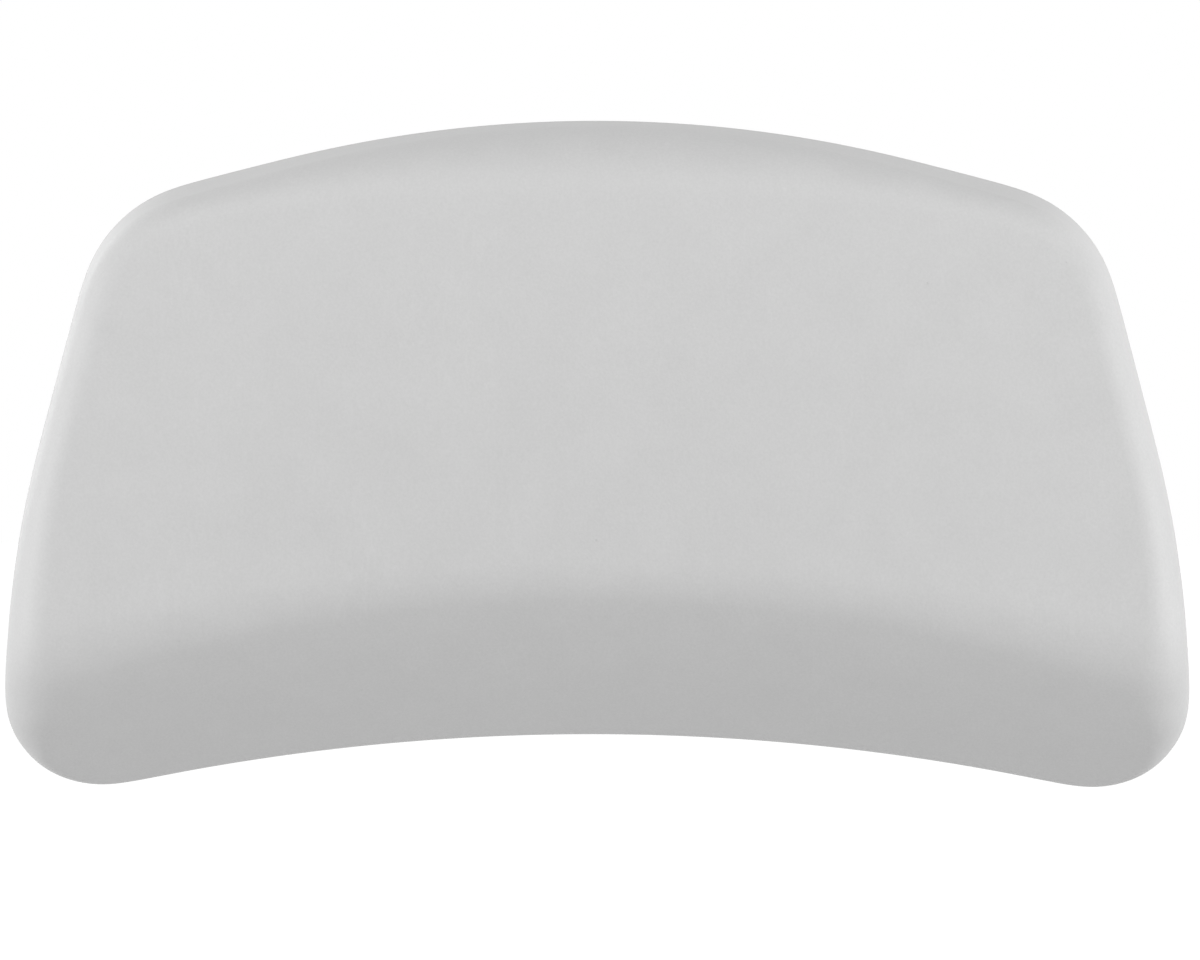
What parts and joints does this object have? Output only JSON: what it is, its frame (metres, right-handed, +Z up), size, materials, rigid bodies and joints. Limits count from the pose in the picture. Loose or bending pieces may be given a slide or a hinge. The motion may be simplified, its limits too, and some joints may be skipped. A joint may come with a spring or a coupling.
{
  "type": "bath pillow",
  "caption": "Moulded foam bath head rest with a crowned upper edge, a hollow lower edge and a raised neck roll, held to the bath wall by suction cups on a plate in its back.",
  "frame": {"origin": "on the centre line, half way up the pillow, in the plane of the suction cup lips, where the bath wall is", "axes": "+Z up, +Y into the bath wall, so the front faces -Y, and +X to the right seen from the front"},
  "size_m": [0.3196, 0.0503, 0.1793],
  "materials": {
    "skin": "smooth matt polyurethane skin",
    "foam": "open polyurethane foam",
    "plate": "fine moulded grain",
    "cap": "natural moulded plastic",
    "cup": "clear soft vinyl"
  },
  "bodies": {
    "pillow": {"skin": "skin", "foam_core": "foam", "back_plate": "plate", "socket_cap_upper_left": "cap", "socket_cap_upper_right": "cap", "socket_cap_lower_left": "cap", "socket_cap_lower_right": "cap"},
    "cup_upper_left": {"suction_cup_upper_left": "cup"},
    "cup_upper_right": {"suction_cup_upper_right": "cup"},
    "cup_lower_left": {"suction_cup_lower_left": "cup"},
    "cup_lower_right": {"suction_cup_lower_right": "cup"}
  },
  "joints": [
    {"name": "swivel_upper_left", "type": "hinge", "parent": "pillow", "child": "cup_upper_left", "pos_m": [-0.09698, -0.01, 0.03081], "axis": [0, 1, 0], "continuous": true},
    {"name": "swivel_upper_right", "type": "hinge", "parent": "pillow", "child": "cup_upper_right", "pos_m": [0.09698, -0.01, 0.03081], "axis": [0, 1, 0], "continuous": true},
    {"name": "swivel_lower_left", "type": "hinge", "parent": "pillow", "child": "cup_lower_left", "pos_m": [-0.11438, -0.01, -0.04199], "axis": [0, 1, 0], "continuous": true},
    {"name": "swivel_lower_right", "type": "hinge", "parent": "pillow", "child": "cup_lower_right", "pos_m": [0.11438, -0.01, -0.04199], "axis": [0, 1, 0], "continuous": true}
  ]
}
